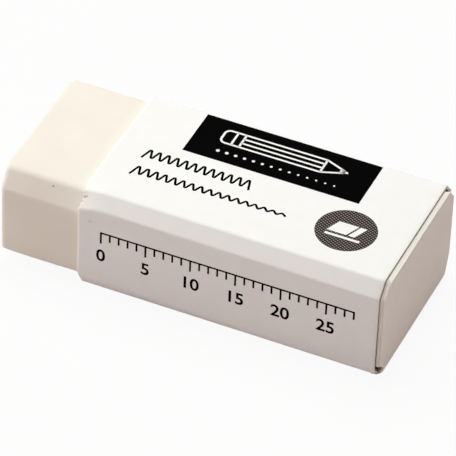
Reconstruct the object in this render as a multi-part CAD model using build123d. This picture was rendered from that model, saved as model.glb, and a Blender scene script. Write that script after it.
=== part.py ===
"""Sleeved eraser: a soft bevelled block that slides in a folded and glued card sleeve.

Millimetres. X runs along the block towards the sleeve's closed end, Y towards its back wall, Z up.
The origin is under the middle of the whole object, on the surface that it lies on.
"""

import os

from build123d import *

# Eraser block
block_length = 42.3
block_width = 18.3
block_height = 11.5
block_bevel_across = 1.45
block_bevel_down = 1.8
block_edge_radius = 0.35
block_end_radius = 0.6

# How the block sits in the sleeve
side_clearance = 0.1
floor_clearance = 0.05
top_clearance = 0.45
end_clearance = 0.1

# Card sheet and the tube that it is folded into
card = 0.3
sleeve_length = 33.25
sleeve_bevel_across = 1.3
sleeve_bevel_down = 1.45
crease_radius = 0.55

# Glue lap inside the back wall, and the seam where the wall's lower edge ends over it
lap_height = 5.5
lap_setback = 0.6
seam_gap = 0.1

# Closed end: the outer flap folds up from the floor, over an inner flap from the back wall
rim_gap = 0.08
outer_fold_radius = 1.4
inner_fold_radius = 0.6
outer_flap_front_inset = 0.4
outer_flap_back_inset = 0.85
outer_flap_top_inset = 0.05
outer_flap_corner_radius = 0.35
front_foot_cut_across = 1.2
front_foot_cut_up = 1.8
back_head_cut_across = 1.3
back_head_cut_down = 1.5
back_foot_cut_across = 1.3
back_foot_cut_up = 3.6
back_foot_curve_radius = 5.0
inner_hinge_inset = 0.5
inner_flap_front_inset = 0.45
inner_flap_top_inset = 0.08
inner_flap_floor_inset = 1.6
inner_flap_hinge_cut = 1.6
inner_flap_head_cut = 1.45
inner_flap_foot_cut = 0.35

# One overrun serves every cut
overrun = 0.5

# Sizes of the tube, from the block that it holds
sleeve_width = block_width + 2 * side_clearance + 3 * card
sleeve_height = block_height + floor_clearance + top_clearance + 2 * card
front_y = -sleeve_width / 2
back_y = sleeve_width / 2

# Places along the length: mouth, rim, the two flaps' faces and the block's ends
overhang = block_length + end_clearance - sleeve_length - rim_gap
total_length = overhang + sleeve_length + rim_gap + 2 * card
block_x = -total_length / 2
mouth_x = block_x + overhang
rim_x = mouth_x + sleeve_length
inner_flap_x = rim_x + rim_gap
outer_flap_x = inner_flap_x + card
end_x = outer_flap_x + card

# Ends of the outer flap's hinge, on the floor
outer_hinge_front = front_y + outer_flap_front_inset + front_foot_cut_across
outer_hinge_back = back_y - outer_flap_back_inset - back_foot_cut_across

# Ends of the inner flap's hinge, on the back wall
inner_hinge_low = sleeve_bevel_down + crease_radius + inner_hinge_inset
inner_hinge_high = sleeve_height - sleeve_bevel_down - inner_hinge_inset


def bevelled_section(width, height, across, down, radius):
    """Rectangle on the floor with four bevelled corners, each of its eight corners rounded."""
    half_width = width / 2
    half_height = height / 2
    corner = [(half_width, half_height - down), (half_width - across, half_height)]
    right_top = [(y, z) for y, z in corner]
    left_top = [(-y, z) for y, z in reversed(corner)]
    left_bottom = [(-y, -z) for y, z in corner]
    right_bottom = [(y, -z) for y, z in reversed(corner)]
    outline = make_face(Polyline(*right_top, *left_top, *left_bottom, *right_bottom, close=True))
    return fillet(outline.vertices(), radius)


def along_x(section, start, end):
    """Solid of a section drawn in Y and Z, from one place on X to another."""
    return extrude(Plane.YZ.offset(start) * section, amount=end - start)


def box_between(low, high):
    """Box from its lowest to its highest corner."""
    size = Vector(*high) - Vector(*low)
    return Pos(*low) * Box(size.X, size.Y, size.Z, align=(Align.MIN, Align.MIN, Align.MIN))


def eraser_block():
    """Bevelled bar, cut to length, with every edge softened."""
    section = bevelled_section(
        block_width, block_height, block_bevel_across, block_bevel_down, block_edge_radius
    )
    centre_y = front_y + card + side_clearance + block_width / 2
    centre_z = card + floor_clearance + block_height / 2
    bar = along_x(Pos(centre_y, centre_z) * section, block_x, block_x + block_length)
    ends = bar.faces().sort_by(Axis.X)
    return fillet(ends[0].edges() + ends[-1].edges(), block_end_radius)


def folded_tube():
    """Tube of one card thickness with rounded creases, its seam low on the back wall."""
    outside = bevelled_section(
        sleeve_width, sleeve_height, sleeve_bevel_across, sleeve_bevel_down, crease_radius
    )
    walls = outside - offset(outside, amount=-card)
    tube = along_x(Pos(0, sleeve_height / 2) * walls, mouth_x, rim_x)
    seam_z = sleeve_bevel_down + crease_radius
    seam = box_between(
        (mouth_x - overrun, back_y - card, seam_z), (rim_x + overrun, back_y + overrun, seam_z + seam_gap)
    )
    return tube - seam


def glue_lap():
    """Strip that carries on from the lower back bevel, glued up the inside of the back wall."""
    lap_outside = back_y - card
    lap_inside = lap_outside - card
    bevel_slope = sleeve_bevel_down / sleeve_bevel_across
    foot_outside = sleeve_bevel_down
    foot_inside = foot_outside - card * bevel_slope
    head = sleeve_bevel_down + lap_height
    strip = make_face(
        Polyline(
            (lap_outside, foot_outside),
            (lap_outside, head),
            (lap_inside, head),
            (lap_inside, foot_inside),
            close=True,
        )
    )
    return along_x(strip, mouth_x, rim_x - lap_setback)


def fold(radius, plane, start, end):
    """Quarter turn of card about the origin of a plane, from its -Y side to its +X side."""
    ring = Circle(radius) - Circle(radius - card)
    quarter = ring & (Pos(radius / 2, -radius / 2) * Rectangle(radius, radius))
    return extrude(plane * Pos(0, 0, start) * quarter, amount=end - start)


def outer_flap():
    """Flap from the floor: its rounded fold and a plate that covers the end, with all four corners cut and the
    back foot in one long curve."""
    head = sleeve_height - outer_flap_top_inset
    front = front_y + outer_flap_front_inset
    back = back_y - outer_flap_back_inset
    outline = make_face(
        Polyline(
            (outer_hinge_front, 0),
            (front, front_foot_cut_up),
            (front, head - sleeve_bevel_down),
            (front + sleeve_bevel_across, head),
            (back - back_head_cut_across, head),
            (back, head - back_head_cut_down),
            (back, back_foot_cut_up),
            (outer_hinge_back, 0),
            close=True,
        )
    )
    back_foot = (back, back_foot_cut_up)
    free_corners = outline.vertices().filter_by_position(Axis.Y, 0, head, inclusive=(False, True))
    cut_card = fillet(free_corners.sort_by_distance(back_foot)[1:], outer_flap_corner_radius)
    cut_card = fillet(cut_card.vertices().sort_by_distance(back_foot)[:1], back_foot_curve_radius)
    fold_plane = Plane(
        origin=(end_x - outer_fold_radius, 0, outer_fold_radius), x_dir=(1, 0, 0), z_dir=(0, -1, 0)
    )
    bend = fold(outer_fold_radius, fold_plane, front_y, back_y)
    plate = box_between((outer_flap_x, front_y, outer_fold_radius), (end_x, back_y, sleeve_height))
    return (bend + plate) & along_x(cut_card, mouth_x, end_x)


def inner_flap():
    """Flap from the back wall, glued behind the outer flap: its fold and a plate with cut corners."""
    root = back_y - inner_fold_radius
    front = front_y + inner_flap_front_inset
    head = sleeve_height - inner_flap_top_inset
    foot = inner_flap_floor_inset
    outline = make_face(
        Polyline(
            (root, inner_hinge_low),
            (root, inner_hinge_high),
            (root - inner_flap_hinge_cut, head),
            (front + inner_flap_head_cut, head),
            (front, head - inner_flap_head_cut),
            (front, foot + inner_flap_foot_cut),
            (front + inner_flap_foot_cut, foot),
            (root - inner_flap_hinge_cut, foot),
            close=True,
        )
    )
    plate = along_x(outline, inner_flap_x, outer_flap_x)
    fold_plane = Plane(
        origin=(outer_flap_x - inner_fold_radius, root, 0), x_dir=(1, 0, 0), z_dir=(0, 0, -1)
    )
    return plate + fold(inner_fold_radius, fold_plane, -inner_hinge_high, -inner_hinge_low)


def hinge_clearances():
    """The ends of the floor and the back wall that give way to the two folds."""
    floor_end = box_between(
        (end_x - outer_fold_radius, outer_hinge_front, -overrun),
        (rim_x + overrun, outer_hinge_back, card + overrun),
    )
    back_end = box_between(
        (outer_flap_x - inner_fold_radius, back_y - card - overrun, inner_hinge_low),
        (rim_x + overrun, back_y + overrun, inner_hinge_high),
    )
    return floor_end + back_end


def card_sleeve():
    """The whole sheet as folded and glued: tube, lap and end flaps in one piece."""
    return folded_tube() + glue_lap() - hinge_clearances() + outer_flap() + inner_flap()


os.makedirs("parts", exist_ok=True)
export_step(eraser_block(), "parts/eraser_block.step")
export_step(card_sleeve(), "parts/card_sleeve.step")
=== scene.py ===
"""Looks of a sleeved eraser: the folded card sleeve with its print, and the soft block that slides in it.

Shapes are worked out in millimetres, in the part's own frame: X along the block towards the sleeve's
closed end, Y towards the back wall, Z up. An outline is a row of complex numbers: its real axis runs
across, its imaginary one up.
"""

import math

import bpy
import numpy as np
from mathutils import Matrix, Vector


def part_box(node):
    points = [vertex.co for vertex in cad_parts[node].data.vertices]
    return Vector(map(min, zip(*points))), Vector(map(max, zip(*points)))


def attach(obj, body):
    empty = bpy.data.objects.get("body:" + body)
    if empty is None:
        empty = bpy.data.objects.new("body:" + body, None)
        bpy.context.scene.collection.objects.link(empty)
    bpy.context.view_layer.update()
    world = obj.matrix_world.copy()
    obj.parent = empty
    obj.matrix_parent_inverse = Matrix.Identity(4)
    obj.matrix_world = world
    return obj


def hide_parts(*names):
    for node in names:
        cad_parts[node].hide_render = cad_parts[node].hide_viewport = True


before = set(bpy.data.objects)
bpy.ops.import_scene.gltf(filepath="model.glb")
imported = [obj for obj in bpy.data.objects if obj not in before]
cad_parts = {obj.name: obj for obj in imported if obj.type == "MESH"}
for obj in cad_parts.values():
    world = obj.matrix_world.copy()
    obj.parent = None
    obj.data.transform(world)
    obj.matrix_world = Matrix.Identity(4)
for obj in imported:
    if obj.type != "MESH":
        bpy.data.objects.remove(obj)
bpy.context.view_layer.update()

MM = 0.001

# Boxes of the two pieces, from the frame
block_low, block_high = (np.array(corner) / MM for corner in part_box("eraser_block"))
sleeve_low, sleeve_high = (np.array(corner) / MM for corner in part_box("card_sleeve"))
mouth_x, front_y, floor_z = sleeve_low
end_x, back_y, top_z = sleeve_high

# Card sheet. The print's film lies on it and still stays inside the sleeve's box. Ink is half as high as the
# film, and what shows white on it is as high as the film
card = 0.3
ink_film = 0.012
ink_height = ink_film / 2
rim_edge_softness = 0.07
mouth_edge_softness = 0.07
flap_edge_softness = 0.09

# Tube that the sheet is folded into, each bevel as across + up, and the depth of the card's middle under
# the box. The bevels are pressed a little differently at the mouth and at the rim
upper_bevel = 1.42 + 1.45j
lower_bevel = 1.2 + 2.1j
upper_rim_bevel = 1.42 + 1.58j
lower_rim_bevel = 1.25 + 1.45j
crease_radius = 0.55
front_foot_radius = 1.4
floor_crease_radius = 0.7
skin = ink_film + card / 2

# Glue lap inside the back wall, and the seam where the wall's lower edge ends over it
seam_z = 2.1
seam_step = 0.35
seam_step_radius = 0.22
lap_head_z = 6.95
lap_setback = 0.6

# Closed end: the rim, and the runs in which the floor and the back wall give way to the flaps' folds
rim_gap = 0.12
rim_lean = 0.06
foot_bevel_setback = 0.08
flap_press = 0.07
hinge_run_out = 0.3
hinge_head_run_out = 0.15
hinge_slit = 0.08

# Outer flap, which folds up from the floor, its corner cuts as across + up
outer_fold_radius = 1.4
outer_flap_front_inset = 0.15
outer_flap_back_inset = 0.85
outer_flap_head_inset = 0.1
outer_flap_corner_radius = 0.35
front_head_curve_radius = 1.0
back_foot_curve_radius = 5.0
front_foot_cut = 1.02 + 2.3j
front_foot_rise = 1.4
back_head_cut = 1.3 + 1.5j
back_foot_cut = 1.3 + 3.6j

# Inner flap, which folds in from the back wall
inner_fold_radius = 0.6
inner_flap_front_inset = 0.17
inner_flap_head_inset = 0.2
inner_flap_foot_inset = 1.8
inner_flap_hinge_cut = 1.6
inner_flap_head_cut = 1.45
inner_flap_foot_cut = 0.35
inner_hinge_low = 2.5
inner_hinge_high = 10.65

# Places that follow: the rim and the folds, the flaps' edges, and the ends of the outer flap's hinge
rim_x = end_x - 2 * card - rim_gap
outer_fold_x = end_x - flap_press - outer_fold_radius
inner_fold_x = end_x - flap_press - card - inner_fold_radius
outer_flap_front = front_y + outer_flap_front_inset
outer_flap_back = back_y - outer_flap_back_inset
outer_flap_head = top_z - outer_flap_head_inset
inner_flap_front = front_y + inner_flap_front_inset
inner_flap_head = top_z - inner_flap_head_inset
inner_flap_foot = floor_z + inner_flap_foot_inset
outer_hinge_front = outer_flap_front + front_foot_cut.real
outer_hinge_back = outer_flap_back - back_foot_cut.real

# Middle of the card in the back wall, the lap and the floor, and how near to it a point is taken to be on it
wall_y = back_y - skin
lap_y = wall_y - card
floor_middle = floor_z + skin
wall_reach = card / 4

# Where the back wall, going up, and the floor, going back, start to give way to a fold, do so in full up to
# its other end, and are whole again
wall_marks = np.array(
    [
        inner_hinge_low - hinge_run_out,
        inner_hinge_low,
        inner_hinge_high,
        inner_hinge_high + hinge_head_run_out,
    ]
)
floor_marks = np.array(
    [
        outer_hinge_front - hinge_slit,
        outer_hinge_front,
        outer_hinge_back,
        outer_hinge_back + hinge_run_out,
    ]
)

# Wear at the mouth: its edge is turned in, its top front corner is pushed down, and the bevel there is nicked
# and frayed
turn_in_depth = 0.05
turn_in_run = 0.3
sag_depth = 0.45
sag_length = 1.35
sag_reach = 2.5
nick_depth = 0.3
nick_length = 0.8
nick_reach = 0.95
nick_height_share = 0.65
fray_depth = 0.15
fray_length = 0.35
fray_pitch = 0.6
fray_run = 1.6

# Block: its bevels as across + up, how soft its edges and ends are, and the slow waves in its faces
block_front_bevel = 1.6 + 2.18j
block_back_bevel = 0.9 + 1.2j
block_foot_bevel = 1.6 + 1.52j
block_edge_radius = 0.55
block_front_radius = 1.0
block_end_radius = 0.6
block_head_softness = 0.05
block_bevel_softness = 0.35
block_side_softness = 0.5
block_unevenness = 0.05
block_wave_along = 2.3
block_wave_across = 2.9

# Small marks, each as its place, its reach along the axes and its colour: a graphite speck on the block, and
# on the sleeve a scuff on the front wall and two spots of painted shade in the frayed nick, standing for the
# shadow in the gap between the card and the block
block_smudges = [((-15.96, -8.1, 11.23), (0.16, 0.11, 0.11), "#9C958C")]
card_smudges_and_painted_shade = [
    ((-11.05, front_y, 9.55), (0.32, 0.2, 0.16), "#E5E2DE"),
    # Two spots of painted shade: the shadow in the gap between the frayed card and the block
    ((-12.08, -8.83, 11.83), (0.18, 0.24, 0.24), "#ABA193"),
    ((-11.87, -8.76, 11.93), (0.14, 0.18, 0.18), "#B3A99B"),
]

# Print on the top wall: a solid panel with a line drawing of a pencil over a row of dots
panel_low = -5.93 + 1.54j
panel_high = 13.77 + 8.05j
pencil_rise = 0.75
pencil_length = 14.0
pencil_width = 2.1
pencil_facet = 0.7
pencil_point = 2.7
pencil_lead = 0.9
pencil_cap = 1.3
pencil_cap_radius = 0.6
pencil_ring = 0.9
pencil_stroke = 0.24
pencil_join = 0.01
dot_drop = 1.75
dot_reach = 6.5
dot_radius = 0.2
dot_fade = 0.5
dot_count = 14

# Two scribbled lines, each as two opposite corners and the share of its swing that it loses by its end
first_scribble = (-9.2 - 1.45j, 2.8 + 0.35j, 0.0)
second_scribble = (-9.2 - 4.35j, 7.9 - 2.55j, 0.8)
scribble_pitch = 1.0
scribble_stroke = 0.26
scribble_turn = 0.12

# A round mark with a leaning block in two parts over a line, their places counted from the mark's centre
roundel_centre = 14.27 - 2.9j
roundel_radius = 3.22
icon_left = -1.9
icon_split = 0.35
icon_foot = -0.65
icon_height = 1.7
icon_lean = 0.75
icon_gap = 0.22
icon_line_drop = 0.33
icon_line_width = 0.33

# Print on the front wall: a millimetre scale with plain numbers
ruler_start = -9.8 + 8.35j
ruler_marks = 28
marks_per_number = 5
tick_pitch = 1.0
tick_width = 0.21
tick_slant = 0.02
tick_drop = 0.85
numbered_tick_drop = 1.3
number_foot = 4.75
number_size = 2.1
number_boldness = 0.04

# Patterns of the materials: how coarse they are, and the height of their relief
coat_mottle = 1.8
coat_grain = 0.16
coat_grain_height = 0.03
fibre_grain = 0.35
fibre_grain_height = 0.04
ink_mottle = 0.3
screen_pitch = 0.29
screen_angle = 30.0
vinyl_cloud = 4.0
vinyl_grain = 0.3
vinyl_grain_height = 0.05

# Sockets of a Mix node that mixes colours: the two that go in, and the one that comes out
MIX_FROM = 6
MIX_TO = 7
MIXED = 2

# Fineness of the grids. Points within the first value are one point, faces up to the second one apart, in
# degrees, are shaded as one, and the trim counts the steps left out beside each crease of the frayed bevel
SAME_POINT = 0.001
SMOOTH_ANGLE = 40.0
ARC_STEPS = 9
FOLD_STEPS = 13
EDGE_STEPS = 4
FRAY_STEPS = 12
FRAY_TRIM = 2
SPACING = 0.7
CLEARANCE = SPACING / 3
TUBE_COLUMNS = 110
MOUTH_CROWDING = 1.5
FLAP_ROWS = 40
FLAP_COLUMNS = 50
BLOCK_ROWS = 90
END_RING_SHARES = (0.05, 0.4, 0.7, 0.93)
DISC_STEPS = 25
DOT_STEPS = 9

# Camera, fitted to the straight edges in the photograph
camera_azimuth = 22.546
camera_elevation = 40.1
camera_roll = 2.335
camera_distance = 458.3
camera_target = (0.53, -0.89, 6.3)
camera_lens = 351.53
camera_near = 10.0
camera_far = 40000.0
sensor_width = 36.0

# Studio: lamps as place, size, power in watts and colour, the light all round, and a pale floor
lamp_aim = (0.0, 0.0, 6.0)
lamps = {
    "overhead": ((-160.0, 200.0, 680.0), 520.0, 4.96, "#F9FFFF"),
    "left": ((-620.0, -120.0, 320.0), 360.0, 2.72, "#FFECE8"),
    "front": ((60.0, -640.0, 260.0), 400.0, 0.43, "#FFFFFF"),
    "right": ((640.0, -60.0, 160.0), 300.0, 0.53, "#FFD0AA"),
}
world_level = 0.005
floor_size = 4000.0
floor_show_through = 0.93


# Outlines and grids


def rounded_path(corners, radii):
    """Open path with its inner corners made arcs. An arc starts radius times the tangent of half the turn
    before its corner, and turns by that angle about a centre that lies one radius to the side."""
    before, at, after = corners[:-2], corners[1:-1], corners[2:]
    into = (at - before) / np.abs(at - before)
    out = (after - at) / np.abs(after - at)
    turn = np.angle(out / into)
    start = at - into * radii * np.tan(np.abs(turn) / 2)
    centre = start + 1j * np.sign(turn) * into * radii
    share = np.linspace(0, 1, ARC_STEPS)
    arcs = centre[:, None] + (start - centre)[:, None] * np.exp(1j * turn[:, None] * share)
    path = np.concatenate([corners[:1], arcs.ravel(), corners[-1:]])
    return path[np.append(True, np.abs(np.diff(path)) > SAME_POINT)]


def even_stops(path):
    """Places along a path, counted in its own points: all of those, and clear of them more on long runs."""
    count = np.arange(len(path))
    length = np.concatenate([[0], np.cumsum(np.abs(np.diff(path)))])
    extra = np.linspace(0, length[-1], int(length[-1] / SPACING) + 2)
    clear = np.min(np.abs(extra[:, None] - length), axis=1) > CLEARANCE
    return np.sort(np.concatenate([count, np.interp(extra[clear], length, count)]))


def along(path, stops):
    """Points of a path at places counted in its own points."""
    return np.interp(stops, np.arange(len(path)), path)


def bevelled_corners(low, high, back_top, front_top, front_foot, back_foot):
    """Eight corners of a section with bevelled corners, anticlockwise from the head of its back wall."""
    return np.array(
        [
            complex(high.real, high.imag - back_top.imag),
            complex(high.real - back_top.real, high.imag),
            complex(low.real + front_top.real, high.imag),
            complex(low.real, high.imag - front_top.imag),
            complex(low.real, low.imag + front_foot.imag),
            complex(low.real + front_foot.real, low.imag),
            complex(high.real - back_foot.real, low.imag),
            complex(high.real, low.imag + back_foot.imag),
        ]
    )


def inset_corners(corners, insets):
    """Closed anticlockwise outline with each edge moved inwards by its own inset. A corner goes to where its
    two moved edges cross: each edge's inset times the other's normal, turned a quarter, over the sine of
    their angle."""
    ahead = np.roll(corners, -1) - corners
    after = 1j * ahead / np.abs(ahead)
    before = np.roll(after, 1)
    sine = (before.conj() * after).imag
    return corners - 1j * (np.roll(insets, 1) * after - insets * before) / sine


def soft_shares(length, count, start, end, power=1):
    """Shares of a length from 0 to 1, with the last ones at each end on the quarter circle of a soft cut
    edge. A power above 1 crowds the rest towards the start."""
    near = (1 - np.cos(np.linspace(0, math.pi / 2, EDGE_STEPS))) / length
    first, last = start * near, 1 - end * near[::-1]
    rest = first[-1] + (last[0] - first[-1]) * np.linspace(0, 1, count) ** power
    return np.concatenate([first[:-1], rest, last[1:]])


def card_faces(middle, start, end, ends_cut=1, head_cut=0):
    """Both faces of a card sheet: its middle surface moved half a card along the normal, each way. At a cut
    edge both faces draw in along a quarter circle, which is as wide as that edge is soft. Each row starts at
    a cut edge. Where the flags say so, a row ends at one too, and the last row is one."""
    normal = np.cross(np.gradient(middle, axis=0), np.gradient(middle, axis=1))
    normal /= np.linalg.norm(normal, axis=-1, keepdims=True)
    run = np.cumsum(np.linalg.norm(np.diff(middle, axis=1, prepend=middle[:, :1]), axis=-1), axis=1)
    rise = np.cumsum(np.linalg.norm(np.diff(middle, axis=0, prepend=middle[:1]), axis=-1), axis=0)
    edges = [
        (run, start, 1),
        (run[:, -1:] - run, end, np.reshape(ends_cut, (-1, 1))),
        (rise[-1] - rise, end, head_cut),
    ]
    half = np.full(run.shape, card / 2)
    for gap, softness, cut in edges:
        near = np.clip(1 - gap / softness, 0, 1)
        half = np.minimum(half, card / 2 - cut * softness * (1 - np.sqrt(1 - near**2)))
    return middle + normal * half[..., None], middle - normal * half[..., None]


def cells(index):
    """Four-sided faces of a grid of point numbers."""
    return np.stack([index[:-1, :-1], index[1:, :-1], index[1:, 1:], index[:-1, 1:]], -1).reshape(-1, 4)


def slab(outer, inner):
    """Closed sheet between two grids of the same shape: both grids' cells, and a strip round their border.
    Returns its points, its faces, and for each face 0 on the outer grid or 1 elsewhere."""
    count = outer[..., 0].size
    near = np.arange(count).reshape(outer.shape[:2])
    border = np.concatenate([near[0, :-1], near[:-1, -1], near[-1, :0:-1], near[:0:-1, 0]])
    following = np.roll(border, -1)
    strip = np.stack([border, border + count, following + count, following], -1)
    face = cells(near)
    faces = np.concatenate([face, face[:, ::-1] + count, strip[:, ::-1]])
    kinds = np.concatenate([np.zeros(len(face)), np.ones(len(face) + len(strip))])
    points = np.concatenate([outer.reshape(-1, 3), inner.reshape(-1, 3)])
    corner = points[faces] - points.mean(axis=0)
    volume = np.sum(np.cross(corner[:, 0], corner[:, 1]) * corner[:, 2])
    return points, faces if volume > 0 else faces[:, ::-1], kinds


def joined(shells):
    """Several shells as the points, faces and face kinds of one mesh."""
    points, faces, kinds = zip(*shells)
    starts = np.cumsum([0] + [len(shell_points) for shell_points in points[:-1]])
    faces = [shell_faces + start for shell_faces, start in zip(faces, starts)]
    return np.concatenate(points), np.concatenate(faces).tolist(), np.concatenate(kinds)


def put_piece(name, shell, materials, body):
    """A mesh piece in the part's frame that rides on a body and takes its finish from a material slot."""
    points, faces, kinds = shell
    mesh = bpy.data.meshes.new(name)
    mesh.from_pydata((points * MM).tolist(), [], faces)
    for material in materials:
        mesh.materials.append(material)
    mesh.polygons.foreach_set("material_index", kinds.astype(np.int32))
    mesh.polygons.foreach_set("use_smooth", np.ones(len(faces), bool))
    mesh.set_sharp_from_angle(angle=math.radians(SMOOTH_ANGLE))
    piece = bpy.data.objects.new(name, mesh)
    bpy.context.scene.collection.objects.link(piece)
    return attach(piece, body)


# Card sleeve


def mouth_wear(points):
    """Shift of the card near the mouth's top front corner. The sag and the nick each fall off as a bell
    curve, along X from the mouth and across from the bevel's lower crease, or from a height on the bevel.
    A sine across, which falls off sooner along X, frays the nick."""
    x, y, z = np.moveaxis(points, -1, 0)
    inside = x - mouth_x
    off_front = np.hypot(y - front_y, z - top_z + upper_bevel.imag)
    nick_place = complex(front_y, top_z - upper_bevel.imag) + nick_height_share * upper_bevel
    off_nick = np.hypot(y - nick_place.real, z - nick_place.imag)
    sag = sag_depth * np.exp(-((inside / sag_length) ** 2) - (off_front / sag_reach) ** 2)
    nick = nick_depth * np.exp(-((inside / nick_length) ** 2) - (off_nick / nick_reach) ** 2)
    fray = fray_depth * np.exp(-((inside / fray_length) ** 2) - (off_nick / nick_reach) ** 2)
    nick = nick + fray * np.sin(2 * math.pi * (y + z) / fray_pitch)
    return np.stack([nick, np.zeros_like(sag), -sag], axis=-1)


def tube_line(upper, lower):
    """Line through the middle of the card round the tube, from the seam over the back, top, front and floor
    to the lap, with an arc at each crease and a step into the lap."""
    low, high = complex(front_y, floor_z), complex(back_y, top_z)
    outside = bevelled_corners(low, high, upper, upper, lower, lower_rim_bevel)
    creases = inset_corners(outside, np.full(len(outside), skin))
    before_bevel = np.linspace(fray_run, crease_radius / 2, FRAY_STEPS)
    bevel_shares = np.linspace(0, 1, FRAY_STEPS + 2 * FRAY_TRIM)[FRAY_TRIM:-FRAY_TRIM]
    step = [complex(wall_y, seam_z - seam_step), complex(lap_y, seam_z)]
    # Corners in runs, each with the radius of its arcs
    runs = [
        ([complex(wall_y, seam_z)], 0),
        (wall_y + 1j * wall_marks, 0),
        (creases[:2], crease_radius - skin),
        (creases[2] + before_bevel, 0),
        (creases[2:3], crease_radius - skin),
        (creases[2] + (creases[3] - creases[2]) * bevel_shares, 0),
        (creases[3:4], crease_radius - skin),
        (creases[4:5], front_foot_radius - skin),
        (creases[5:6], floor_crease_radius - skin),
        (floor_marks[2:] + 1j * floor_middle, 0),
        (creases[6:], crease_radius - skin),
        (step, seam_step_radius),
        ([complex(lap_y, lap_head_z)], 0),
    ]
    corners = np.concatenate([points for points, _ in runs])
    radii = np.concatenate([np.full(len(points), radius) for points, radius in runs])
    return rounded_path(corners, radii[1:-1])


def tube_sheet():
    """The walls: the tube's line at the mouth blends along X into its line at the rim. The floor and the back
    wall stop at the flaps' folds, and the front foot bevel slants back to its fold. At the mouth the line
    draws in by the square of what is left of a short run."""
    at_mouth, at_rim = tube_line(upper_bevel, lower_bevel), tube_line(upper_rim_bevel, lower_rim_bevel)
    stops = even_stops(at_mouth)
    at_mouth, at_rim = along(at_mouth, stops)[:, None], along(at_rim, stops)[:, None]
    y, z = at_rim.real, at_rim.imag
    on_wall = np.interp(z, wall_marks, [0, 1, 1, 0]) * (y > wall_y - wall_reach)
    on_floor = np.interp(y, floor_marks, [0, 1, 1, 0]) * (z < floor_middle + wall_reach)
    on_lap = (np.abs(y - lap_y) < wall_reach) & (z > seam_z - seam_step) & (z <= lap_head_z)
    on_front = np.clip(1 - z / top_z, 0, 1) * (y < 0)
    on_bevel = np.clip(1 - z / lower_rim_bevel.imag, 0, 1) * (y < 0)
    stop_x = rim_x - rim_lean * on_front - foot_bevel_setback * on_bevel - lap_setback * on_lap
    stop_x = stop_x + (inner_fold_x - stop_x) * on_wall + (outer_fold_x - stop_x) * on_floor
    share = soft_shares(
        rim_x - mouth_x, TUBE_COLUMNS, mouth_edge_softness, rim_edge_softness, MOUTH_CROWDING
    )
    x = mouth_x + (stop_x - mouth_x) * share
    line = at_mouth + (at_rim - at_mouth) * share
    inwards = 1j * np.gradient(line, axis=0)
    left_of_run = np.clip(1 - (x - mouth_x) / turn_in_run, 0, 1)
    turn_in = turn_in_depth * np.clip(z / lower_bevel.imag, 0, 1) * left_of_run**2
    line = line + turn_in * inwards / np.abs(inwards)
    middle = np.stack([x, line.real, line.imag], -1)
    middle = middle + mouth_wear(middle)
    ends_cut = np.maximum(on_wall, on_floor) < 1
    return slab(*card_faces(middle, mouth_edge_softness, rim_edge_softness, ends_cut))


def flap_line(fold_radius, reach, marks):
    """Line of a flap through the middle of the card: a quarter circle out of the wall, then straight on to
    its reach, with a point at each mark. Returns how far it has come out of the end, and how far from the
    wall that it hinges on."""
    turn = np.linspace(0, math.pi / 2, FOLD_STEPS)
    bend = fold_radius - skin
    run = reach - fold_radius
    straight = fold_radius + run * soft_shares(run, FLAP_ROWS, flap_edge_softness, flap_edge_softness)
    straight = np.union1d(straight, np.clip(marks, fold_radius, reach))[1:]
    straight = straight[np.diff(straight, prepend=0) > SAME_POINT]
    out = np.concatenate([bend * np.sin(turn), np.full(len(straight), bend)])
    return out, np.concatenate([fold_radius - bend * np.cos(turn), straight])


def outer_flap_sheet():
    """Flap from the floor: each row runs across from its back edge to its front edge at that height. Both
    edges go up to the middle of its head, and the level run along the head is left off again."""
    head = outer_flap_head
    front_corners = np.array(
        [
            complex(outer_hinge_front, floor_middle),
            complex(outer_hinge_front, front_foot_rise),
            complex(outer_flap_front, front_foot_cut.imag),
            complex(outer_flap_front, head - upper_rim_bevel.imag),
            complex(outer_flap_front + upper_rim_bevel.real, head),
            complex(0, head),
        ]
    )
    back_corners = np.array(
        [
            complex(outer_hinge_back, floor_middle),
            complex(outer_flap_back, back_foot_cut.imag),
            complex(outer_flap_back, head - back_head_cut.imag),
            complex(outer_flap_back - back_head_cut.real, head),
            complex(0, head),
        ]
    )
    corner, curve = outer_flap_corner_radius, front_head_curve_radius
    front_edge = rounded_path(front_corners, np.array([corner, corner, curve, curve]))[:-1]
    back_edge = rounded_path(back_corners, np.array([back_foot_curve_radius, corner, corner]))[:-1]
    out, z = flap_line(outer_fold_radius, head, np.concatenate([front_edge.imag, back_edge.imag]))
    front = np.interp(z, front_edge.imag, front_edge.real)[:, None]
    back = np.interp(z, back_edge.imag, back_edge.real)[:, None]
    width = outer_flap_back - outer_flap_front
    y = back + (front - back) * soft_shares(width, FLAP_COLUMNS, flap_edge_softness, flap_edge_softness)
    middle = np.stack(np.broadcast_arrays(outer_fold_x + out[:, None], y, z[:, None]), -1)
    return slab(*card_faces(middle, flap_edge_softness, flap_edge_softness, head_cut=1))


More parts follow.
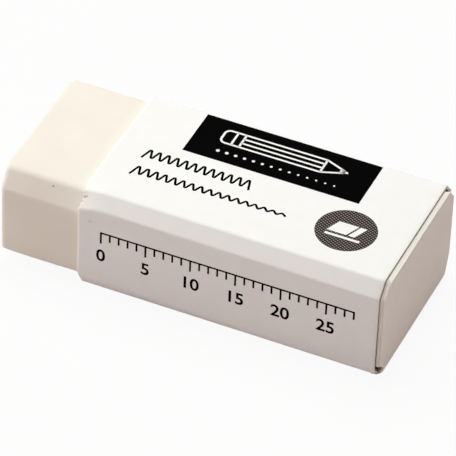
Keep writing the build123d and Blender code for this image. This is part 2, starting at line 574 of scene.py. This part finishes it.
def inner_flap_sheet():
    """Flap from the back wall: each row runs down from its upper edge to its lower edge at that distance."""
    head, foot, reach = inner_flap_head, inner_flap_foot, back_y - inner_flap_front
    beside_hinge = [inner_fold_radius, inner_fold_radius + inner_flap_hinge_cut]
    head_marks = np.array([*beside_hinge, reach - inner_flap_head_cut, reach])
    foot_marks = np.array([*beside_hinge, reach - inner_flap_foot_cut, reach])
    heads = [inner_hinge_high, head, head, head - inner_flap_head_cut]
    feet = [inner_hinge_low, foot, foot, foot + inner_flap_foot_cut]
    out, inwards = flap_line(inner_fold_radius, reach, np.concatenate([head_marks, foot_marks]))
    upper = np.interp(inwards, head_marks, heads)[:, None]
    lower = np.interp(inwards, foot_marks, feet)[:, None]
    share = soft_shares(head - foot, FLAP_COLUMNS, flap_edge_softness, flap_edge_softness)
    z = upper + (lower - upper) * share
    middle = np.stack(np.broadcast_arrays(inner_fold_x + out[:, None], back_y - inwards[:, None], z), -1)
    return slab(*card_faces(middle, flap_edge_softness, flap_edge_softness, head_cut=1))


# Eraser block


def block_outlines():
    """The block's bevelled outline with rounded corners, wider ones at its front bevel: first in full, then
    drawn in as at its cut ends, less at the top than at the sides. Both start in the middle of the back."""
    low, high = complex(*block_low[1:]), complex(*block_high[1:])
    foot = block_foot_bevel
    corners = bevelled_corners(low, high, block_back_bevel, block_front_bevel, foot, foot)
    head, bevels, sides = block_head_softness, block_bevel_softness, block_side_softness
    end_insets = np.array([bevels, head, bevels, sides, bevels, sides, bevels, sides])
    radii = np.full(len(corners), block_edge_radius)
    radii[2:4] = block_front_radius
    outlines = []
    for insets in (np.zeros(len(corners)), end_insets):
        drawn_in = inset_corners(corners, block_unevenness + insets)
        start = (drawn_in[-1] + drawn_in[0]) / 2
        outlines.append(rounded_path(np.concatenate([[start], drawn_in, [start]]), radii))
    return outlines


def block_shell():
    """The soft block: its outline carried along X. At each end the outline draws in along a quarter ellipse
    to the flat cut end, and shrinks over that end in rings. Slow waves across and along keep its faces from
    being dead flat."""
    outlines = block_outlines()
    stops = even_stops(outlines[0])[:-1]
    full, small = (along(outline, stops) for outline in outlines)
    turn = np.linspace(0, math.pi / 2, ARC_STEPS)
    start, stop = block_low[0], block_high[0]
    run = np.linspace(start + block_end_radius, stop - block_end_radius, BLOCK_ROWS)[1:-1]
    round_end = block_end_radius * (1 - np.cos(turn))
    rings = len(END_RING_SHARES)
    x = np.concatenate([start + round_end, run, stop - round_end[::-1]])
    x = np.pad(x, rings, mode="edge")[:, None]
    drawn = np.concatenate([1 - np.sin(turn), np.zeros(len(run)), 1 - np.sin(turn[::-1])])
    drawn = np.pad(drawn, rings, mode="edge")[:, None]
    shrink = np.ones_like(drawn)
    shrink[:rings, 0] = END_RING_SHARES
    shrink[-rings:, 0] = END_RING_SHARES[::-1]
    middle = complex(*(block_low + block_high)[1:]) / 2
    section = middle + shrink * (full + drawn * (small - full) - middle)
    arm = section - middle
    wave = np.sin(x / block_wave_along) * np.cos(section.real / block_wave_across + section.imag)
    section = section + block_unevenness * wave * arm / np.abs(arm)
    points = np.stack(np.broadcast_arrays(x, section.real, section.imag), -1)
    index = np.arange(section.size).reshape(section.shape)
    walls = cells(np.concatenate([index, index[:, :1]], axis=1))[:, ::-1]
    faces = walls.tolist() + [index[0, ::-1].tolist(), index[-1].tolist()]
    return points.reshape(-1, 3), faces, np.zeros(len(faces))


# Print


def over_wall(flat, wall, height):
    """Points at a height over a wall's face. A flat shape gives X and Y on the top wall, or X and Z on the
    front wall."""
    if wall == "top":
        return np.stack(np.broadcast_arrays(flat.real, flat.imag, top_z - ink_film + height), -1)
    return np.stack(np.broadcast_arrays(flat.real, front_y + ink_film - height, flat.imag), -1)


def printed(flat, wall, height):
    """Closed film of ink from just under a wall's face to a height over it. It follows the worn card."""
    shift = mouth_wear(over_wall(flat, wall, -card / 2))
    return slab(over_wall(flat, wall, height) + shift, over_wall(flat, wall, -ink_film) + shift)


def bar(low, high):
    """Rectangle between two opposite corners, as a grid of its four corners."""
    return np.array([[low, complex(high.real, low.imag)], [complex(low.real, high.imag), high]])


def ribbon(path, width):
    """Stroke along a path: half its width to each side, square to the path's direction."""
    side = 1j * np.gradient(path)
    side = side / np.abs(side) * width / 2
    return np.stack([path - side, path + side], -1)


def disc(centre, radius, steps):
    """Disc as a bent square grid: each axis draws in by the root of 1 less half the other's square."""
    u, v = np.meshgrid(np.linspace(-1, 1, steps), np.linspace(-1, 1, steps))
    return centre + radius * (u * np.sqrt(1 - v**2 / 2) + 1j * v * np.sqrt(1 - u**2 / 2))


def scribble(low, high, fade):
    """Pencil scribble between two opposite corners: up and down, with a swing that falls by a share."""
    turns = 2 * int((high - low).real / scribble_pitch) + 1
    share = np.linspace(0, 1, turns)
    swing = (high - low).imag / 2 * (1 - fade * share) * np.where(np.arange(turns) % 2, 1, -1)
    corners = low.real + share * (high - low).real + 1j * ((low + high).imag / 2 + swing)
    return ribbon(rounded_path(corners, np.full(turns - 2, scribble_turn)), scribble_stroke)


def pencil_drawing():
    """Line drawing of a plain pencil, point to the right: outline, barrel edges, ferrule and lead."""
    centre = (panel_low + panel_high) / 2 + 1j * pencil_rise
    half, tip, back = pencil_width / 2, pencil_length / 2, -pencil_length / 2
    shoulder = tip - pencil_point
    ferrule = back + pencil_cap
    outline = np.array([1j * half, back + 1j * half, back - 1j * half, shoulder - 1j * half])
    outline = np.append(outline, [tip, shoulder + 1j * half, pencil_join + 1j * half])
    lines = [rounded_path(outline, np.array([pencil_cap_radius, pencil_cap_radius, 0, pencil_stroke, 0]))]
    for side in (-pencil_facet / 2, pencil_facet / 2):
        lines.append(np.array([ferrule + pencil_ring, shoulder]) + 1j * side)
    for place in (ferrule, ferrule + pencil_ring, shoulder):
        lines.append(place + 1j * np.array([-half, half]))
    shapes = [centre + ribbon(line, pencil_stroke) for line in lines]
    lead = np.array([-1j, 1j]) * half * pencil_lead / pencil_point
    shapes.append(centre + tip + np.stack([lead - pencil_lead, lead * pencil_stroke / pencil_lead]))
    return shapes


def dotted_line():
    """Row of dots under the drawing, which shrink by a share towards its end."""
    centre = (panel_low + panel_high) / 2 - 1j * dot_drop
    share = np.linspace(0, 1, dot_count)
    return [disc(centre + dot_reach * (2 * s - 1), dot_radius * (1 - dot_fade * s), DOT_STEPS) for s in share]


def roundel_icon():
    """Leaning block in two parts, over the line that it rubs."""
    lean = icon_lean + 1j * icon_height
    gap_start, gap_stop = icon_split - icon_gap / 2, icon_split + icon_gap / 2
    shapes = []
    for start, stop in ((icon_left, gap_start), (gap_stop, -icon_left - icon_lean)):
        foot = np.array([start, stop]) + 1j * icon_foot
        shapes.append(roundel_centre + np.stack([foot, foot + lean]))
    line_head = icon_foot - icon_line_drop
    line_foot = line_head - icon_line_width
    shapes.append(roundel_centre + bar(complex(icon_left, line_foot), complex(-icon_left, line_head)))
    return shapes


def ruler():
    """Millimetre scale as a comb: under a straight line the lower edge steps down at each mark, further at
    each numbered one, and back up, with hardly any slant."""
    marks = np.arange(ruler_marks + 1)
    drops = np.where(marks % marks_per_number, tick_drop, numbered_tick_drop)
    sides = np.array([-1 - tick_slant, -1, 1, 1 + tick_slant]) * tick_width / 2
    across = np.add.outer(marks * tick_pitch, sides).ravel()
    down = np.outer(drops, [0, 1, 1, 0]).ravel()
    return ruler_start + across + 1j * np.stack([-down, np.full(len(down), tick_width)])


def ruler_numbers():
    """Plain numbers under the scale, from the built-in font, as films on the front wall."""
    shells = []
    for count in range(0, ruler_marks + 1, marks_per_number):
        letters = bpy.data.curves.new("number", "FONT")
        letters.body = str(count)
        letters.size = number_size
        letters.align_x = "CENTER"
        letters.offset = number_boldness
        letters.extrude = ink_height
        holder = bpy.data.objects.new("number", letters)
        mesh = bpy.data.meshes.new_from_object(holder)
        flat = np.empty(3 * len(mesh.vertices))
        mesh.vertices.foreach_get("co", flat)
        across, up, out = flat.reshape(-1, 3).T
        place = ruler_start.real + count * tick_pitch
        points = np.stack([place + across, front_y + ink_film - out, number_foot + up], -1)
        mesh.calc_loop_triangles()
        faces = np.empty(3 * len(mesh.loop_triangles), np.int32)
        mesh.loop_triangles.foreach_get("vertices", faces)
        faces = faces.reshape(-1, 3)
        shells.append((points + mouth_wear(points), faces, np.zeros(len(faces))))
        bpy.data.objects.remove(holder)
    return shells


# Materials


def srgb(code):
    """Linear colour of an sRGB hex value: a twelfth of it near black, and a 2.4 power above."""
    values = np.array([int(code[i : i + 2], 16) for i in (1, 3, 5)]) / 255
    linear = np.where(values <= 0.04045, values / 12.92, ((values + 0.055) / 1.055) ** 2.4)
    return (*linear.tolist(), 1.0)


def add(tree, kind, inputs, **settings):
    """One node with its settings. An input is a fixed value, or the output socket that feeds it."""
    made = tree.nodes.new("ShaderNode" + kind)
    for name, value in settings.items():
        setattr(made, name, value)
    for socket, value in inputs.items():
        if isinstance(value, bpy.types.NodeSocket):
            tree.links.new(value, made.inputs[socket])
        else:
            made.inputs[socket].default_value = value
    return made


def new_material(name):
    """Empty node material, its tree, and the output of its Object coordinates."""
    material = bpy.data.materials.new(name)
    material.use_nodes = True
    tree = material.node_tree
    tree.nodes.clear()
    return material, tree, add(tree, "TexCoord", {}).outputs["Object"]


def smudged(tree, place, tint, smudge_and_shade_spots):
    """Colour with small smudges and spots of painted shade, each full up to half of its reach along each
    axis, and gone at its reach.
    """
    for centre, reach, colour in smudge_and_shade_spots:
        off = add(tree, "VectorMath", {0: place, 1: np.array(centre) * MM}, operation="SUBTRACT")
        shares = add(tree, "VectorMath", {0: off.outputs[0], 1: np.array(reach) * MM}, operation="DIVIDE")
        away = add(tree, "VectorMath", {0: shares.outputs[0]}, operation="LENGTH").outputs["Value"]
        strength = add(tree, "MapRange", {"Value": away, "From Min": 1.0, "From Max": 0.5})
        colours = {MIX_FROM: tint, MIX_TO: srgb(colour)}
        mix = add(tree, "Mix", {0: strength.outputs[0], **colours}, data_type="RGBA")
        tint = mix.outputs[MIXED]
    return tint


def end_in_surface(tree, inputs):
    """Ends a material's tree in a Principled surface."""
    surface = add(tree, "BsdfPrincipled", inputs)
    add(tree, "OutputMaterial", {"Surface": surface.outputs[0]})


def coated_white_board():
    """Coated white folding board: a clay coat over wood fibre gives an even, matt, softly mottled white."""
    material, tree, place = new_material("coated_white_board")
    mottle = add(tree, "TexNoise", {"Vector": place, "Scale": 1 / (coat_mottle * MM), "Detail": 3.0})
    colours = {MIX_FROM: srgb("#F8F7F5"), MIX_TO: srgb("#F4F2EE")}
    mix = add(tree, "Mix", {0: mottle.outputs[0], **colours}, data_type="RGBA")
    # The card's colour takes a real scuff on the front wall and two spots of painted shade in the frayed nick
    tint = smudged(tree, place, mix.outputs[MIXED], card_smudges_and_painted_shade)
    grain = add(tree, "TexNoise", {"Vector": place, "Scale": 1 / (coat_grain * MM), "Detail": 2.0})
    relief = {"Strength": 0.06, "Distance": coat_grain_height * MM, "Height": grain.outputs[0]}
    bump = add(tree, "Bump", relief)
    finish = {"Roughness": 0.6, "IOR": 1.45, "Specular IOR Level": 0.3}
    end_in_surface(tree, {"Base Color": tint, "Normal": bump.outputs[0], **finish})
    return material


def uncoated_board():
    """Uncoated board: the cut edges and the inside show cream wood fibre, duller than the coat."""
    material, tree, place = new_material("uncoated_board")
    fibre = add(tree, "TexNoise", {"Vector": place, "Scale": 1 / (fibre_grain * MM), "Detail": 4.0})
    colours = {MIX_FROM: srgb("#EFE9E0"), MIX_TO: srgb("#E4DDD2")}
    mix = add(tree, "Mix", {0: fibre.outputs[0], **colours}, data_type="RGBA")
    relief = {"Strength": 0.3, "Distance": fibre_grain_height * MM, "Height": fibre.outputs[0]}
    bump = add(tree, "Bump", relief)
    finish = {"Roughness": 0.85, "IOR": 1.45, "Specular IOR Level": 0.2}
    end_in_surface(tree, {"Base Color": mix.outputs[MIXED], "Normal": bump.outputs[0], **finish})
    return material


def solid_black_ink():
    """Offset printing ink laid solid: a deep matt black with small unevenness in its film."""
    material, tree, place = new_material("solid_black_ink")
    film = add(tree, "TexNoise", {"Vector": place, "Scale": 1 / (ink_mottle * MM), "Detail": 3.0})
    colours = {MIX_FROM: srgb("#010101"), MIX_TO: srgb("#040404")}
    mix = add(tree, "Mix", {0: film.outputs[0], **colours}, data_type="RGBA")
    finish = {"Roughness": 0.7, "IOR": 1.45, "Specular IOR Level": 0.01}
    end_in_surface(tree, {"Base Color": mix.outputs[MIXED], **finish})
    return material


def screened_ink():
    """Black ink printed through a dot screen: white card shows between the dots and turns it a soft dark
    grey. A real screen is about 0.17 mm, and it is drawn coarser so that it shows."""
    material, tree, place = new_material("screened_black_ink")
    turned = add(tree, "Mapping", {"Vector": place, "Rotation": (0, 0, math.radians(screen_angle))})
    waves_per_metre = 2 * math.pi / (screen_pitch * MM)
    scaled = add(tree, "VectorMath", {0: turned.outputs[0], "Scale": waves_per_metre}, operation="SCALE")
    axes = add(tree, "SeparateXYZ", {0: scaled.outputs[0]})
    waves = [add(tree, "Math", {0: axes.outputs[i]}, operation="SINE").outputs[0] for i in (0, 1)]
    dots = add(tree, "Math", {0: waves[0], 1: waves[1]}, operation="ADD")
    open_share = add(tree, "MapRange", {"Value": dots.outputs[0], "From Min": 0.2, "From Max": 1.6})
    colours = {MIX_FROM: srgb("#2A2421"), MIX_TO: srgb("#9C938C")}
    mix = add(tree, "Mix", {0: open_share.outputs[0], **colours}, data_type="RGBA")
    finish = {"Roughness": 0.6, "IOR": 1.45, "Specular IOR Level": 0.05}
    end_in_surface(tree, {"Base Color": mix.outputs[MIXED], **finish})
    return material


def soft_vinyl():
    """Soft plasticised vinyl, moulded and cut: a matt, warm white with faint clouds and a fine grain."""
    material, tree, place = new_material("soft_white_vinyl")
    cloud = add(tree, "TexNoise", {"Vector": place, "Scale": 1 / (vinyl_cloud * MM), "Detail": 3.0})
    colours = {MIX_FROM: srgb("#F5EFE4"), MIX_TO: srgb("#F0E8DB")}
    mix = add(tree, "Mix", {0: cloud.outputs[0], **colours}, data_type="RGBA")
    tint = smudged(tree, place, mix.outputs[MIXED], block_smudges)
    grain = add(tree, "TexNoise", {"Vector": place, "Scale": 1 / (vinyl_grain * MM), "Detail": 4.0})
    relief = {"Strength": 0.12, "Distance": vinyl_grain_height * MM, "Height": grain.outputs[0]}
    bump = add(tree, "Bump", relief)
    finish = {"Roughness": 0.7, "IOR": 1.5, "Specular IOR Level": 0.25}
    end_in_surface(tree, {"Base Color": tint, "Normal": bump.outputs[0], **finish})
    return material


# Studio


def seen_directly(tree):
    """1 for the rays that show a background: from the camera, by a reflection or through glass."""
    rays = add(tree, "LightPath", {}).outputs
    seen = rays["Is Camera Ray"]
    for kind in ("Is Glossy Ray", "Is Transmission Ray"):
        seen = add(tree, "Math", {0: seen, 1: rays[kind]}, operation="MAXIMUM").outputs[0]
    return seen


def pale_floor():
    """Plain floor that takes the object's shadow, and shows mostly as white paper."""
    half = floor_size / 2 * MM
    mesh = bpy.data.meshes.new("floor")
    corners = [(-half, -half, 0), (half, -half, 0), (half, half, 0), (-half, half, 0)]
    mesh.from_pydata(corners, [], [(0, 1, 2, 3)])
    material, tree, _ = new_material("white_paper_floor")
    matt = add(tree, "BsdfDiffuse", {"Color": srgb("#EAE1DF")})
    paper = add(tree, "Emission", {"Color": srgb("#FFFFFF"), "Strength": 1.0})
    share = add(tree, "Math", {0: seen_directly(tree), 1: floor_show_through}, operation="MULTIPLY")
    mix = add(tree, "MixShader", {0: share.outputs[0], 1: matt.outputs[0], 2: paper.outputs[0]})
    add(tree, "OutputMaterial", {"Surface": mix.outputs[0]})
    mesh.materials.append(material)
    floor = bpy.data.objects.new("floor", mesh)
    bpy.context.scene.collection.objects.link(floor)


def white_room():
    """World that shows as white, and lights the object softly from all round."""
    world = bpy.data.worlds.new("white_room")
    world.use_nodes = True
    tree = world.node_tree
    tree.nodes.clear()
    glow = add(tree, "Background", {"Color": srgb("#FFFFFF"), "Strength": world_level})
    shown = add(tree, "Background", {"Color": srgb("#FFFFFF"), "Strength": 1.0})
    mix = add(tree, "MixShader", {0: seen_directly(tree), 1: glow.outputs[0], 2: shown.outputs[0]})
    add(tree, "OutputWorld", {"Surface": mix.outputs[0]})
    bpy.context.scene.world = world


def put_lamp(name, place, size, power, colour):
    """Square soft box that faces the object."""
    light = bpy.data.lights.new(name, "AREA")
    light.size = size * MM
    light.energy = power
    light.color = srgb(colour)[:3]
    lamp = bpy.data.objects.new(name, light)
    lamp.location = Vector(place) * MM
    lamp.rotation_euler = (Vector(lamp_aim) - Vector(place)).to_track_quat("-Z", "Y").to_euler()
    bpy.context.scene.collection.objects.link(lamp)


def put_camera():
    """Camera on a sphere round its target, turned by its roll about its own line of sight."""
    lens = bpy.data.cameras.new("camera")
    lens.lens = camera_lens
    lens.sensor_width = sensor_width
    lens.clip_start = camera_near * MM
    lens.clip_end = camera_far * MM
    azimuth, tilt = math.radians(camera_azimuth), math.radians(90 - camera_elevation)
    turn = Matrix.Rotation(azimuth, 4, "Z") @ Matrix.Rotation(tilt, 4, "X")
    roll = Matrix.Rotation(math.radians(camera_roll), 4, "Z")
    camera = bpy.data.objects.new("camera", lens)
    place = (Vector(camera_target) + turn @ Vector((0, 0, camera_distance))) * MM
    camera.matrix_world = Matrix.Translation(place) @ turn @ roll
    bpy.context.scene.collection.objects.link(camera)
    bpy.context.scene.camera = camera


# Put it together

white_board = coated_white_board()
raw_board = uncoated_board()
black_ink = solid_black_ink()
grey_ink = screened_ink()

sleeve_shell = joined([tube_sheet(), outer_flap_sheet(), inner_flap_sheet()])
sleeve = put_piece("folded_card_sleeve", sleeve_shell, [white_board, raw_board], "sleeve")
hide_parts("card_sleeve")
block = put_piece("soft_eraser_block", block_shell(), [soft_vinyl()], "block")
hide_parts("eraser_block")

scribbles = [scribble(*first_scribble), scribble(*second_scribble)]
round_mark = disc(roundel_centre, roundel_radius, DISC_STEPS)
prints = {
    "black_panel_print": ([bar(panel_low, panel_high)], "top", black_ink, ink_height),
    "pencil_print": (pencil_drawing() + dotted_line(), "top", white_board, ink_film),
    "scribble_print": (scribbles, "top", black_ink, ink_height),
    "round_mark_print": ([round_mark], "top", grey_ink, ink_height),
    "round_mark_icon_print": (roundel_icon(), "top", white_board, ink_film),
    "ruler_print": ([ruler()], "front", black_ink, ink_height),
}
for name, (shapes, wall, ink, height) in prints.items():
    films = joined([printed(shape, wall, height) for shape in shapes])
    put_piece(name, films, [ink, ink], "sleeve")
put_piece("ruler_number_print", joined(ruler_numbers()), [black_ink], "sleeve")

pale_floor()
white_room()
for name, settings in lamps.items():
    put_lamp(name, *settings)
put_camera()
bpy.context.scene.view_settings.view_transform = "Standard"
